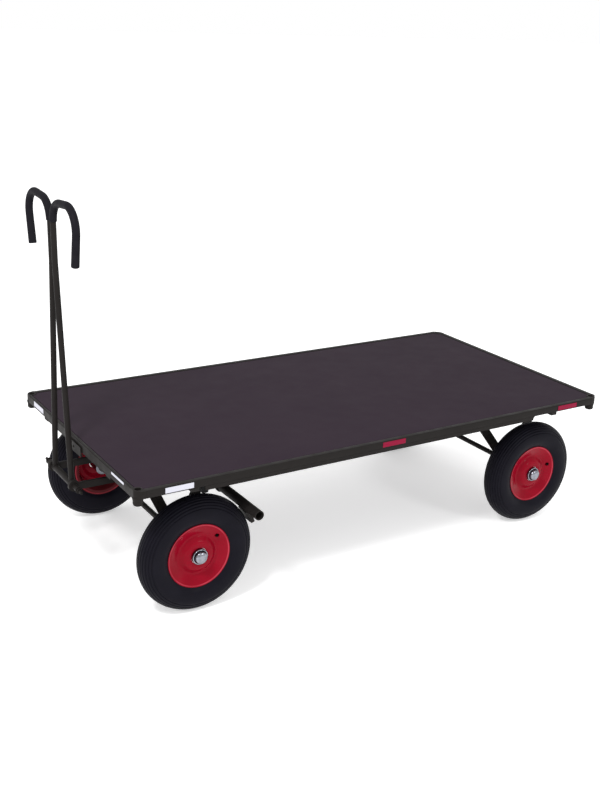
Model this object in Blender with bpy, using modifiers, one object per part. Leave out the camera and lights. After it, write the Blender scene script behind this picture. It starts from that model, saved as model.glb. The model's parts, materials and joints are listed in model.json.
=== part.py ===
"""Hand-drawn platform truck with a turntable-steered front bogie, a folding drawbar and a parking brake.

Metres, +X forward (the drawbar end), +Y to the left, +Z up. The origin is on the ground, under the
middle of the whole truck's outline.
"""

import math

import bmesh
import bpy
from mathutils import Vector

GAP = 0.0003                      # left between pieces that are welded or bolted together
FIT = 0.0004                      # all round a pin in its hole
LARGE_ROUND = 32                  # sides of the wheels and of the turntable rings
SMALL_ROUND = 16                  # sides of the other round pieces

# Deck and frame
DECK_TOP = 0.512                  # top of the rails above the ground
INNER_X = 0.9795                  # from the deck's middle to the inner faces of the end rails
INNER_Y = 0.4895                  # and to the inner faces of the side rails
RAIL_WIDTH = 0.0215               # side and rear rails, outside
RAIL_HEIGHT = 0.0255
FRONT_RAIL_WIDTH = 0.0115
FRONT_RAIL_HEIGHT = 0.029
RAIL_WALL = 0.0025
RAIL_BOTTOM = DECK_TOP - RAIL_HEIGHT
FRONT_RAIL_BOTTOM = DECK_TOP - FRONT_RAIL_HEIGHT
OUTER_Y = INNER_Y + RAIL_WIDTH
REAR_FACE = INNER_X + RAIL_WIDTH
FRONT_FACE = INNER_X + FRONT_RAIL_WIDTH
BOARD_THICKNESS = 0.012
BOARD_SINK = 0.0015
BOARD_CLEARANCE = 0.002
SOCKET_PLACE = (0.975, 0.485)
SOCKET_RADIUS = 0.0165
SOCKET_BORE = 0.0107
SOCKET_BOTTOM = 0.457
SOCKET_FLOOR = 0.004
SOCKET_FOOT = [(0.0165, 0.006), (0.0145, 0.002), (0.0105, 0.0)]   # radius, height above the bottom
SIDE_SILL_X = (-0.650, 0.755)
SIDE_SILL_BOTTOM = 0.4715
SIDE_SILL_WIDTH = 0.040
FRONT_SILL_HALF = 0.305
FRONT_SILL_BOTTOM = 0.478
FRONT_SILL_FOOT = 0.035           # length of the deeper pad at each end of the front sill
FRONT_SILL_PAD = 0.003
LONGITUDINAL_Y = 0.262
LONGITUDINAL_WIDTH = 0.038
LONGITUDINAL_BOTTOM = 0.480
CHANNEL_WALL = 0.004
CROSS_MEMBER_BOTTOM = 0.4745
CROSS_MEMBER_WIDTH = 0.027
FRONT_CROSS_X = 0.790
TURNTABLE_CROSS_X = 0.640
REAR_CROSS_X = -0.757

# Wheels and axles
AXLE_X = 0.742                    # the axles stand this far before and behind the deck's middle
TYRE_RADIUS = 0.206
TRACK_HALF = 0.413                # from the middle plane to each wheel's middle
AXLE_RADIUS = 0.010
AXLE_HALF = 0.463
AXLE_NUT = (0.015, 0.0056)        # radius and thickness
AXLE_COLLAR = (0.016, 0.006)

# Sections of the wheel as (radius, height along the wheel's outward axis), from its middle plane
TYRE_SECTION = [(0.1014, 0.014), (0.1014, 0.0308), (0.1146, 0.033), (0.133, 0.0445), (0.160, 0.0465),
                (0.188, 0.036), (0.203, 0.017), (TYRE_RADIUS, 0.0)]
TYRE_CAVITY = [(0.152, -0.036), (0.192, 0.0), (0.152, 0.036)]
RIM_WELL = [(0.114, 0.0364), (0.114, 0.0338), (0.101, 0.0315), (0.089, 0.008)]
RIM_BACK = [(0.097, -0.033), (0.085, -0.007), (0.085, 0.019), (0.076, 0.015), (0.065, 0.015), (0.050, 0.028)]
RIM_FACE = [(0.038, 0.035), (0.052, 0.033), (0.067, 0.019), (0.074, 0.019), (0.097, 0.033)]
RIM_DISC = (0.031, 0.035)         # the disc's two faces where it meets the hub
HUB_RADIUS = 0.028
HUB_HEIGHTS = (-0.040, 0.044)     # along the wheel's outward axis, from the wheel's middle
CAP_RADIUS = 0.0215
CAP_TOP = 0.0596
CAP_WALL = 0.003
CAP_DOME = [(0.013, 0.001), (0.019, 0.004), (CAP_RADIUS, 0.008)]   # radius, depth below the top
CAP_CROWN = 0.005                 # thickness of the cap's top

# Axle brackets
BRACKET_Y = 0.278
BRACKET_THICKNESS = 0.006
LEG_HALF_WIDTH = 0.019
REAR_LEG_TOPS = (-0.520, -0.955)  # x where the rear bracket's legs meet the longitudinal
FRONT_LEG_SPREAD = 0.112          # the front bracket's legs at their top, from the axle

# Turntable and bogie
RING_RADIUS = 0.200
RING_BORE = 0.150
RING_TOP = CROSS_MEMBER_BOTTOM - GAP
RING_BOTTOM = 0.440
RING_WALL = 0.008
RING_LID = 0.006                  # thickness of the upper ring's flat top
RING_SKIRT_RISE = 0.006           # the upper ring's skirt ends this far above the lower ring's bottom
RING_CLEARANCE = 0.001            # between the upper ring's skirt and the lower ring
BOGIE_TOP = RING_BOTTOM - GAP
BOGIE_BAR_BOTTOM = 0.392
BOGIE_BAR_X = (0.596, 0.888)
BOGIE_CROSS_X = (0.655, 0.850)
BOGIE_CROSS_WIDTH = 0.040
BOGIE_CROSS_BOTTOM = 0.3883
BOGIE_CROSS_WALL = 0.003
ARM_Y = 0.096                     # middle of the drawbar arms' thickness
ARM_THICKNESS = 0.012
ARM_Z = (0.364, 0.388)
ARM_REAR_X = 0.632
ARM_EYE_RADIUS = 0.020

# Drawbar
HINGE_X = 1.036
HINGE_Z = 0.380
DRAWBAR_LEAN = 0.0093             # forward for each metre up
PIN_RADIUS = 0.008
PIN_HALF = 0.168
PIN_END_RADIUS = 0.005
SLEEVE_RADIUS = 0.012
SLEEVE_HALF = 0.0887
WELD_ROOT = 0.0015                # between the sleeve and the tubes welded to it
COLLAR_RADIUS = 0.0095
COLLAR_Y = (0.1025, 0.155)
TUBE_RADIUS = 0.010
TUBE_FOOT_Y = 0.0775
TUBE_TOP_Y = 0.0132
TUBES_MEET_Z = 1.130
HOOK_START_Z = 1.258
HOOK_INNER_BEND = (0.067, 86.0)   # bend radius and turn in degrees
HOOK_CROWN = 0.060
HOOK_OUTER_BEND = (0.0705, 104.0)
HOOK_TAIL = 0.099
GRIP_RADIUS = 0.0129
GRIP_BORE = 0.0105
GRIP_TIP = 0.003
BORE_OVERRUN = 0.020              # the grip's cutter starts this far below its mouth

# Parking brake
BRAKE_SHAFT = (0.611, 0.408)      # x and z of the shaft that the brake rocks on
BRAKE_SHAFT_RADIUS = 0.008
BRAKE_SHAFT_HALF = 0.287
BRAKE_BAR = (0.564, 0.3485)       # x and z of the bar
BRAKE_BAR_RADIUS = 0.017
BRAKE_BAR_BORE = 0.014
BRAKE_BAR_HALF = 0.530
BRAKE_ARM_Y = 0.262
BRAKE_ARM_THICKNESS = 0.008
BRAKE_ARM_ENDS = (0.016, 0.022)   # radii at the shaft and at the bar
SHOE_RADII = (0.2115, 0.2255)
SHOE_ANGLES = (147.0, 160.0)      # around the axle, from straight ahead over the top
SHOE_Y = (0.385, 0.443)

CATCH_HALF = 0.062
CATCH_Z = (0.462, 0.497)
CATCH_THICKNESS = 0.005
CATCH_HOLE = 0.005

SAME_POINT = 0.00001              # points closer than this are welded into one

PAINT = ("frame_paint", (0.030, 0.030, 0.032), 0.45, 0.3)
BOARD = ("deck_film", (0.050, 0.036, 0.040), 0.50, 0.0)
RUBBER = ("tyre_rubber", (0.030, 0.031, 0.038), 0.75, 0.0)
RIM_PAINT = ("rim_paint", (0.480, 0.012, 0.030), 0.30, 0.0)
CHROME = ("bright_steel", (0.700, 0.700, 0.710), 0.22, 1.0)
GRIP = ("grip_rubber", (0.020, 0.020, 0.021), 0.65, 0.0)


def clear_scene():
    for obj in list(bpy.data.objects):
        bpy.data.objects.remove(obj, do_unlink=True)


def new_collection(name):
    collection = bpy.data.collections.new(name)
    bpy.context.scene.collection.children.link(collection)
    return collection


def material(spec):
    name, colour, roughness, metallic = spec
    made = bpy.data.materials.get(name)
    if made:
        return made
    made = bpy.data.materials.new(name)
    made.use_nodes = True
    shader = made.node_tree.nodes["Principled BSDF"]
    shader.inputs["Base Color"].default_value = (*colour, 1.0)
    shader.inputs["Roughness"].default_value = roughness
    shader.inputs["Metallic"].default_value = metallic
    return made


def pivot(name, place, parent=None):
    """An empty at a place in the truck's own frame, whose x = 0 is the middle of the deck."""
    empty = bpy.data.objects.new(name, None)
    empty.empty_display_size = 0.05
    PARTS.objects.link(empty)
    empty.parent = parent
    empty["place"] = place
    empty.location = Vector(place) - (Vector(parent["place"]) if parent else Vector())
    return empty


def finish(obj, spec, parent, place=(0, 0, 0)):
    """Puts a new object in the parts collection, on its pivot, at a place in the truck's own frame."""
    PARTS.objects.link(obj)
    obj.data.materials.append(material(spec))
    obj.parent = parent
    obj.location = Vector(place) - Vector(parent["place"])
    return obj


def circle(centre, radius, count=SMALL_ROUND, start=0.0, turn=360.0):
    """Points round a circle, or round an arc that includes both of its ends."""
    steps = count if turn == 360.0 else count - 1
    points = []
    for i in range(count):
        angle = math.radians(start + turn * i / steps)
        points.append((centre[0] + radius * math.cos(angle), centre[1] + radius * math.sin(angle)))
    return points


def rectangle(low, high):
    return [(low[0], low[1]), (high[0], low[1]), (high[0], high[1]), (low[0], high[1])]


PLANES = {
    "XY": (0.0, 0.0, 0.0),
    "XZ": (math.pi / 2, 0.0, 0.0),
    "YZ": (math.pi / 2, 0.0, math.pi / 2),
}


def plate(name, plane, loops, middle, thickness, spec, parent):
    """A flat outline with its holes, given thickness about a middle plane across the third axis."""
    curve = bpy.data.curves.new(name, "CURVE")
    curve.dimensions = "2D"
    curve.fill_mode = "BOTH"
    curve.extrude = thickness / 2
    for loop in loops:
        spline = curve.splines.new("POLY")
        spline.points.add(len(loop) - 1)
        for point, (u, v) in zip(spline.points, loop):
            point.co = (u, v, 0, 1)
        spline.use_cyclic_u = True
    obj = bpy.data.objects.new(name, curve)
    obj.rotation_euler = PLANES[plane]
    place = [0.0, 0.0, 0.0]
    place[{"XY": 2, "XZ": 1, "YZ": 0}[plane]] = middle
    return finish(obj, spec, parent, place)


def turned(name, profile, centre, outward, segments, spec, parent):
    """A profile of (radius, height) points turned about the axis that points along outward.

    The profile runs down its outer side. It is closed into a loop unless it ends on the axis.
    """
    mesh = bpy.data.meshes.new(name)
    edges = [(i, i + 1) for i in range(len(profile) - 1)]
    if profile[0][0] > 0:
        edges.append((len(profile) - 1, 0))
    mesh.from_pydata([(radius, 0, height) for radius, height in profile], edges, [])
    obj = bpy.data.objects.new(name, mesh)
    screw = obj.modifiers.new("turn", "SCREW")
    screw.steps = screw.render_steps = segments
    screw.use_merge_vertices = True
    screw.merge_threshold = SAME_POINT
    obj.rotation_euler = {"+Z": (0, 0, 0), "+Y": (-math.pi / 2, 0, 0), "-Y": (math.pi / 2, 0, 0)}[outward]
    return finish(obj, spec, parent, centre)


def round_bar(name, path, radius, spec, parent, collection=None):
    """A bar or tube along a list of points, as a curve with filled caps."""
    curve = bpy.data.curves.new(name, "CURVE")
    curve.dimensions = "3D"
    curve.bevel_depth = radius
    curve.bevel_resolution = 4
    curve.use_fill_caps = True
    spline = curve.splines.new("POLY")
    spline.points.add(len(path) - 1)
    for point, place in zip(spline.points, path):
        point.co = (*place, 1)
    obj = bpy.data.objects.new(name, curve)
    if collection:
        collection.objects.link(obj)
        return obj
    return finish(obj, spec, parent)


def as_mesh(curve_object, name, collection):
    """The welded mesh of a curve, as a new object in the same place. The curve is removed."""
    bpy.context.view_layer.update()
    graph = bpy.context.evaluated_depsgraph_get()
    mesh = bpy.data.meshes.new_from_object(curve_object.evaluated_get(graph))
    shape = bmesh.new()
    shape.from_mesh(mesh)
    bmesh.ops.remove_doubles(shape, verts=shape.verts, dist=SAME_POINT)
    bmesh.ops.recalc_face_normals(shape, faces=shape.faces)
    shape.to_mesh(mesh)
    shape.free()
    obj = bpy.data.objects.new(name, mesh)
    obj.matrix_world = curve_object.matrix_world
    bpy.data.objects.remove(curve_object)
    collection.objects.link(obj)
    return obj


def both_sides():
    return (("left", 1), ("right", -1))


# ---------------------------------------------------------------- deck and frame

def make_board(cart):
    half_x = INNER_X - BOARD_CLEARANCE
    half_y = INNER_Y - BOARD_CLEARANCE
    centre = SOCKET_PLACE
    notch = SOCKET_RADIUS + BOARD_CLEARANCE / 2
    first = -math.degrees(math.acos((half_x - centre[0]) / notch))
    last = -180.0 - math.degrees(math.asin((half_y - centre[1]) / notch))
    corner = circle(centre, notch, 9, first, last - first)
    outline = list(corner)
    outline += [(-x, y) for x, y in reversed(corner)]
    outline += [(-x, -y) for x, y in corner]
    outline += [(x, -y) for x, y in reversed(corner)]
    top = DECK_TOP - BOARD_SINK
    plate("deck_board", "XY", [outline], top - BOARD_THICKNESS / 2, BOARD_THICKNESS, BOARD, cart)


def make_rails(cart):
    reach_x = SOCKET_PLACE[0] - SOCKET_RADIUS - GAP
    reach_y = SOCKET_PLACE[1] - SOCKET_RADIUS - GAP
    front = tube_section(INNER_X, FRONT_RAIL_BOTTOM, FRONT_RAIL_WIDTH, FRONT_RAIL_HEIGHT, RAIL_WALL)
    rear = tube_section(-REAR_FACE, RAIL_BOTTOM, RAIL_WIDTH, RAIL_HEIGHT, RAIL_WALL)
    plate("rail_front", "XZ", front, 0, 2 * reach_y, PAINT, cart)
    plate("rail_rear", "XZ", rear, 0, 2 * reach_y, PAINT, cart)
    for side, start in (("left", INNER_Y), ("right", -OUTER_Y)):
        loops = tube_section(start, RAIL_BOTTOM, RAIL_WIDTH, RAIL_HEIGHT, RAIL_WALL)
        plate(f"rail_{side}", "YZ", loops, 0, 2 * reach_x, PAINT, cart)


def tube_section(left, bottom, width, height, wall):
    outer = rectangle((left, bottom), (left + width, bottom + height))
    inner = rectangle((left + wall, bottom + wall), (left + width - wall, bottom + height - wall))
    return [outer, inner]


def make_sockets(cart):
    floor = SOCKET_BOTTOM + SOCKET_FLOOR
    profile = [(0, floor), (SOCKET_BORE, floor), (SOCKET_BORE, DECK_TOP), (SOCKET_RADIUS, DECK_TOP)]
    profile += [(radius, SOCKET_BOTTOM + height) for radius, height in SOCKET_FOOT]
    profile += [(0, SOCKET_BOTTOM)]
    for end, along in (("front", 1), ("rear", -1)):
        for side, across in both_sides():
            place = (along * SOCKET_PLACE[0], across * SOCKET_PLACE[1], 0)
            turned(f"corner_socket_{end}_{side}", profile, place, "+Z", SMALL_ROUND, PAINT, cart)


def make_sills(cart):
    top = RAIL_BOTTOM - GAP
    inner = OUTER_Y - SIDE_SILL_WIDTH
    angle = [
        (OUTER_Y, SIDE_SILL_BOTTOM),
        (OUTER_Y, top),
        (inner, top),
        (inner, top - CHANNEL_WALL),
        (OUTER_Y - CHANNEL_WALL, top - CHANNEL_WALL),
        (OUTER_Y - CHANNEL_WALL, SIDE_SILL_BOTTOM),
    ]
    middle = sum(SIDE_SILL_X) / 2
    length = SIDE_SILL_X[1] - SIDE_SILL_X[0]
    for side, sign in both_sides():
        loop = [(sign * y, z) for y, z in angle]
        plate(f"side_sill_{side}", "YZ", [loop], middle, length, PAINT, cart)
    half = FRONT_SILL_HALF
    foot = half - FRONT_SILL_FOOT
    low = FRONT_SILL_BOTTOM - FRONT_SILL_PAD
    top = FRONT_RAIL_BOTTOM - GAP
    loop = [(-half, low), (-foot, low), (-foot, FRONT_SILL_BOTTOM), (foot, FRONT_SILL_BOTTOM),
            (foot, low), (half, low), (half, top), (-half, top)]
    plate("front_sill", "YZ", [loop], (INNER_X + FRONT_FACE) / 2, FRONT_RAIL_WIDTH, PAINT, cart)


def make_under_frame(cart):
    top = DECK_TOP - BOARD_SINK - BOARD_THICKNESS - GAP
    half = LONGITUDINAL_WIDTH / 2
    low = LONGITUDINAL_BOTTOM
    length = 2 * (INNER_X - GAP)
    for side, sign in both_sides():
        y = sign * LONGITUDINAL_Y
        loop = [
            (y - half, low),
            (y - half, top),
            (y + half, top),
            (y + half, low),
            (y + half - CHANNEL_WALL, low),
            (y + half - CHANNEL_WALL, top - CHANNEL_WALL),
            (y - half + CHANNEL_WALL, top - CHANNEL_WALL),
            (y - half + CHANNEL_WALL, low),
        ]
        plate(f"longitudinal_{side}", "YZ", [loop], 0, length, PAINT, cart)
    between = OUTER_Y - SIDE_SILL_WIDTH - GAP
    make_cross_member("cross_member_front", FRONT_CROSS_X, OUTER_Y, cart)
    make_cross_member("cross_member_turntable", TURNTABLE_CROSS_X, between, cart)
    make_cross_member("cross_member_rear", REAR_CROSS_X, OUTER_Y, cart)


def make_cross_member(name, x, reach, cart):
    """A bar under the rails, notched from above where the longitudinals cross it."""
    low = CROSS_MEMBER_BOTTOM
    top = RAIL_BOTTOM - GAP
    floor = LONGITUDINAL_BOTTOM - GAP
    near = LONGITUDINAL_Y - LONGITUDINAL_WIDTH / 2 - GAP
    far = LONGITUDINAL_Y + LONGITUDINAL_WIDTH / 2 + GAP
    upper = [(reach, top), (far, top), (far, floor), (near, floor), (near, top)]
    loop = [(-reach, low), (reach, low)] + upper + [(-y, z) for y, z in reversed(upper)]
    plate(name, "YZ", [loop], x, CROSS_MEMBER_WIDTH, PAINT, cart)


def make_catch(cart):
    """A plate on the deck's front face, with a hole for the pin that holds the drawbar upright."""
    low, high = CATCH_Z
    outline = rectangle((-CATCH_HALF, low), (CATCH_HALF, high))
    hole = circle((0, (low + high) / 2), CATCH_HOLE)
    middle = FRONT_FACE + GAP + CATCH_THICKNESS / 2
    plate("drawbar_catch", "YZ", [outline, hole], middle, CATCH_THICKNESS, PAINT, cart)


# ---------------------------------------------------------------- axles and brackets

def leg_edges(axle, top, half_width):
    """The two long edges of a straight leg from the axle up to a point on its top line."""
    along = Vector((top[0] - axle[0], top[1] - axle[1])).normalized()
    across = Vector((-along.y, along.x)) * half_width
    edges = []
    for sign in (1, -1):
        foot = Vector(axle) + sign * across
        rise = (top[1] - foot.y) / along.y
        edges.append((foot, foot + along * rise))
    return edges


def meet(first, second):
    """Where two straight lines, each given by two points, cross."""
    p, r = first[0], first[1] - first[0]
    q, s = second[0], second[1] - second[0]
    t = (q - p).cross(s) / r.cross(s)
    return p + r * t


def at_height(edge, z):
    foot, top = edge
    return foot + (top - foot) * ((z - foot.y) / (top.y - foot.y))


def boss_arc(axle, first, last, radius):
    """The round lower end of the bracket, from one leg's outer edge under the axle to the other's."""
    start = math.degrees(math.atan2(first.y - axle[1], first.x - axle[0]))
    end = math.degrees(math.atan2(last.y - axle[1], last.x - axle[0]))
    if start > 90:
        start -= 360
    return circle(axle, radius, 9, start, end - start)


def make_rear_brackets(cart):
    axle = (-AXLE_X, TYRE_RADIUS)
    top = LONGITUDINAL_BOTTOM - GAP
    front = leg_edges(axle, (REAR_LEG_TOPS[0], top), LEG_HALF_WIDTH)
    rear = leg_edges(axle, (REAR_LEG_TOPS[1], top), LEG_HALF_WIDTH)
    crotch = meet(front[0], rear[1])
    outline = [tuple(rear[0][1])]
    outline += boss_arc(axle, rear[0][0], front[1][0], LEG_HALF_WIDTH)
    outline += [tuple(front[1][1]), tuple(front[0][1]), tuple(crotch), tuple(rear[1][1])]
    hole = circle(axle, AXLE_RADIUS + FIT)
    for side, sign in both_sides():
        y = sign * BRACKET_Y
        plate(f"rear_bracket_{side}", "XZ", [outline, hole], y, BRACKET_THICKNESS, PAINT, cart)


def make_front_brackets(bogie):
    axle = (AXLE_X, TYRE_RADIUS)
    spread = FRONT_LEG_SPREAD
    front = leg_edges(axle, (AXLE_X + spread, BOGIE_TOP), LEG_HALF_WIDTH)
    rear = leg_edges(axle, (AXLE_X - spread, BOGIE_TOP), LEG_HALF_WIDTH)
    crotch = meet(front[0], rear[1])
    bar = BOGIE_BAR_BOTTOM
    outline = [(BOGIE_BAR_X[0], BOGIE_TOP), (BOGIE_BAR_X[0], bar), tuple(at_height(rear[0], bar))]
    outline += boss_arc(axle, rear[0][0], front[1][0], LEG_HALF_WIDTH)
    outline += [tuple(at_height(front[1], bar)), (BOGIE_BAR_X[1], bar), (BOGIE_BAR_X[1], BOGIE_TOP)]
    window = [tuple(crotch), tuple(at_height(front[0], bar)), tuple(at_height(rear[1], bar))]
    holes = [circle(axle, AXLE_RADIUS + FIT), circle(BRAKE_SHAFT, BRAKE_SHAFT_RADIUS + FIT)]
    for side, sign in both_sides():
        loops = [outline, window] + holes
        plate(f"front_bracket_{side}", "XZ", loops, sign * BRACKET_Y, BRACKET_THICKNESS, PAINT, bogie)


def make_axle(name, x, parent):
    """A round axle with a collar inside each wheel and a nut outside it, as one turned piece."""
    nut_radius, nut = AXLE_NUT
    collar_radius, collar = AXLE_COLLAR
    nut_y = TRACK_HALF + HUB_HEIGHTS[1] + FIT
    collar_y = TRACK_HALF + HUB_HEIGHTS[0] - FIT
    side = [
        (0, AXLE_HALF),
        (AXLE_RADIUS, AXLE_HALF),
        (AXLE_RADIUS, nut_y + nut),
        (nut_radius, nut_y + nut),
        (nut_radius, nut_y),
        (AXLE_RADIUS, nut_y),
        (AXLE_RADIUS, collar_y),
        (collar_radius, collar_y),
        (collar_radius, collar_y - collar),
        (AXLE_RADIUS, collar_y - collar),
    ]
    profile = side + [(radius, -y) for radius, y in reversed(side)]
    turned(name, profile, (x, 0, TYRE_RADIUS), "+Y", SMALL_ROUND, PAINT, parent)


# ---------------------------------------------------------------- turntable and bogie

def make_turntable(cart, bogie):
    outer = RING_RADIUS
    skirt = outer - RING_WALL
    lid = RING_TOP - RING_LID
    hem = RING_BOTTOM + RING_SKIRT_RISE
    upper = [(outer, RING_TOP), (outer, hem), (skirt, hem), (skirt, lid),
             (RING_BORE, lid), (RING_BORE, RING_TOP)]
    turned("turntable_upper_ring", upper, (AXLE_X, 0, 0), "+Z", LARGE_ROUND, PAINT, cart)
    nested = skirt - RING_CLEARANCE
    floor = RING_BOTTOM + RING_WALL
    lower = [(nested, lid - GAP), (nested, RING_BOTTOM), (RING_BORE, RING_BOTTOM),
             (RING_BORE, floor), (nested - RING_WALL, floor), (nested - RING_WALL, lid - GAP)]
    turned("turntable_lower_ring", lower, (AXLE_X, 0, 0), "+Z", LARGE_ROUND, PAINT, bogie)


def make_bogie_frame(bogie):
    reach = BRACKET_Y - BRACKET_THICKNESS / 2 - GAP
    height = BOGIE_TOP - BOGIE_CROSS_BOTTOM
    for name, x in zip(("rear", "front"), BOGIE_CROSS_X):
        left = x - BOGIE_CROSS_WIDTH / 2
        loops = tube_section(left, BOGIE_CROSS_BOTTOM, BOGIE_CROSS_WIDTH, height, BOGIE_CROSS_WALL)
        plate(f"bogie_cross_{name}", "XZ", loops, 0, 2 * reach, PAINT, bogie)


def make_drawbar_arms(bogie):
    low, high = ARM_Z
    eye = (HINGE_X, HINGE_Z)
    first = -180 + math.degrees(math.asin((HINGE_Z - low) / ARM_EYE_RADIUS))
    last = 180 - math.degrees(math.asin((high - HINGE_Z) / ARM_EYE_RADIUS))
    outline = [(ARM_REAR_X, high), (ARM_REAR_X, low)]
    outline += circle(eye, ARM_EYE_RADIUS, 15, first, last - first)
    hole = circle(eye, PIN_RADIUS + FIT)
    for side, sign in both_sides():
        plate(f"drawbar_arm_{side}", "XZ", [outline, hole], sign * ARM_Y, ARM_THICKNESS, PAINT, bogie)


def make_hinge_pin(bogie):
    inner, outer = COLLAR_Y
    side = [
        (0, PIN_HALF),
        (PIN_END_RADIUS, PIN_HALF),
        (PIN_END_RADIUS, outer),
        (COLLAR_RADIUS, outer),
        (COLLAR_RADIUS, inner),
        (PIN_RADIUS, inner),
    ]
    profile = side + [(radius, -y) for radius, y in reversed(side)]
    turned("hinge_pin", profile, (HINGE_X, 0, HINGE_Z), "+Y", SMALL_ROUND, PAINT, bogie)


# ---------------------------------------------------------------- drawbar

def lean(y, z):
    """A point of the drawbar, which leans a little forward from its hinge."""
    return (HINGE_X + DRAWBAR_LEAN * (z - HINGE_Z), y, z)


def hook_path():
    """The bent part of a drawbar tube, as (distance from the middle plane, height) points."""
    y, z, heading = TUBE_TOP_Y, HOOK_START_Z, 0.0
    path = [(y, z)]
    runs = ((HOOK_INNER_BEND, 5), (HOOK_OUTER_BEND, 6))
    for (radius, turn), steps in runs:
        step = math.radians(turn) / steps
        chord = 2 * radius * math.sin(step / 2)
        for _ in range(steps):
            y += chord * math.sin(heading + step / 2)
            z += chord * math.cos(heading + step / 2)
            heading += step
            path.append((y, z))
        straight = HOOK_CROWN if radius == HOOK_INNER_BEND[0] else HOOK_TAIL
        y += straight * math.sin(heading)
        z += straight * math.cos(heading)
        path.append((y, z))
    return path


def front_reach():
    """How far the hooks stand before the deck's middle: the truck's outline is centred with it."""
    return max(lean(y, z)[0] for y, z in hook_path()) + GRIP_RADIUS


def shortened(path, length):
    """The same path with its last straight run made shorter."""
    last = Vector(path[-1])
    along = (last - Vector(path[-2])).normalized()
    return path[:-1] + [tuple(last - along * length)]


def make_drawbar(drawbar):
    bore = PIN_RADIUS + FIT
    sleeve = [(SLEEVE_RADIUS, SLEEVE_HALF), (SLEEVE_RADIUS, -SLEEVE_HALF),
              (bore, -SLEEVE_HALF), (bore, SLEEVE_HALF)]
    turned("drawbar_sleeve", sleeve, (HINGE_X, 0, HINGE_Z), "+Y", SMALL_ROUND, PAINT, drawbar)
    foot_z = HINGE_Z + SLEEVE_RADIUS + WELD_ROOT
    hook = hook_path()
    for side, sign in both_sides():
        inside = shortened(hook, GRIP_TIP + GAP)
        straight = [(TUBE_FOOT_Y, foot_z), (TUBE_TOP_Y, TUBES_MEET_Z)]
        path = [lean(sign * y, z) for y, z in straight + inside]
        round_bar(f"drawbar_tube_{side}", path, TUBE_RADIUS, PAINT, drawbar)
        make_grip(side, sign, hook, drawbar)


def make_grip(side, sign, hook, drawbar):
    """A rubber sleeve over the hook, closed at its tip."""
    outer = round_bar("grip_skin", [lean(sign * y, z) for y, z in hook], GRIP_RADIUS, GRIP, None, CUTTERS)
    below = (hook[0][0], hook[0][1] - BORE_OVERRUN)
    inner_path = [lean(sign * y, z) for y, z in [below] + shortened(hook, GRIP_TIP)]
    inner = round_bar("grip_bore", inner_path, GRIP_BORE, GRIP, None, CUTTERS)
    skin = as_mesh(outer, f"grip_{side}", PARTS)
    cutter = as_mesh(inner, f"grip_bore_{side}", CUTTERS)
    cutter.hide_render = True
    cutter.display_type = "WIRE"
    skin.data.materials.append(material(GRIP))
    for obj in (skin, cutter):
        obj.parent = drawbar
        obj.location = -Vector(drawbar["place"])
    cut = skin.modifiers.new("bore", "BOOLEAN")
    cut.operation = "DIFFERENCE"
    cut.object = cutter


# ---------------------------------------------------------------- parking brake

def link_outline(first, first_radius, second, second_radius):
    """A flat link: two round ends joined by the straight lines that touch both."""
    way = Vector(second) - Vector(first)
    heading = math.degrees(math.atan2(way.y, way.x))
    tilt = math.degrees(math.acos((first_radius - second_radius) / way.length))
    return (circle(first, first_radius, 13, heading + tilt, 360 - 2 * tilt)
            + circle(second, second_radius, 13, heading - tilt, 2 * tilt))


def make_brake(bogie, brake):
    shaft = [(0, BRAKE_SHAFT_HALF), (BRAKE_SHAFT_RADIUS, BRAKE_SHAFT_HALF),
             (BRAKE_SHAFT_RADIUS, -BRAKE_SHAFT_HALF), (0, -BRAKE_SHAFT_HALF)]
    x, z = BRAKE_SHAFT
    turned("brake_shaft", shaft, (x, 0, z), "+Y", SMALL_ROUND, PAINT, bogie)
    bar = [circle(BRAKE_BAR, BRAKE_BAR_RADIUS), circle(BRAKE_BAR, BRAKE_BAR_BORE)]
    plate("brake_bar", "XZ", bar, 0, 2 * BRAKE_BAR_HALF, PAINT, brake)
    arm = [
        link_outline(BRAKE_SHAFT, BRAKE_ARM_ENDS[0], BRAKE_BAR, BRAKE_ARM_ENDS[1]),
        circle(BRAKE_SHAFT, BRAKE_SHAFT_RADIUS + FIT),
        circle(BRAKE_BAR, BRAKE_BAR_RADIUS + FIT),
    ]
    axle = (AXLE_X, TYRE_RADIUS)
    turn = SHOE_ANGLES[1] - SHOE_ANGLES[0]
    shoe = circle(axle, SHOE_RADII[1], 7, SHOE_ANGLES[0], turn)
    shoe += reversed(circle(axle, SHOE_RADII[0], 7, SHOE_ANGLES[0], turn))
    shoe_middle = sum(SHOE_Y) / 2
    shoe_width = SHOE_Y[1] - SHOE_Y[0]
    for side, sign in both_sides():
        plate(f"brake_arm_{side}", "XZ", arm, sign * BRAKE_ARM_Y, BRAKE_ARM_THICKNESS, PAINT, brake)
        plate(f"brake_shoe_{side}", "XZ", [shoe], sign * shoe_middle, shoe_width, PAINT, brake)


# ---------------------------------------------------------------- wheels

def mirrored(half):
    """A profile's upper half and its mirror image below."""
    return half + [(radius, -height) for radius, height in reversed(half) if height > 0]


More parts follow.
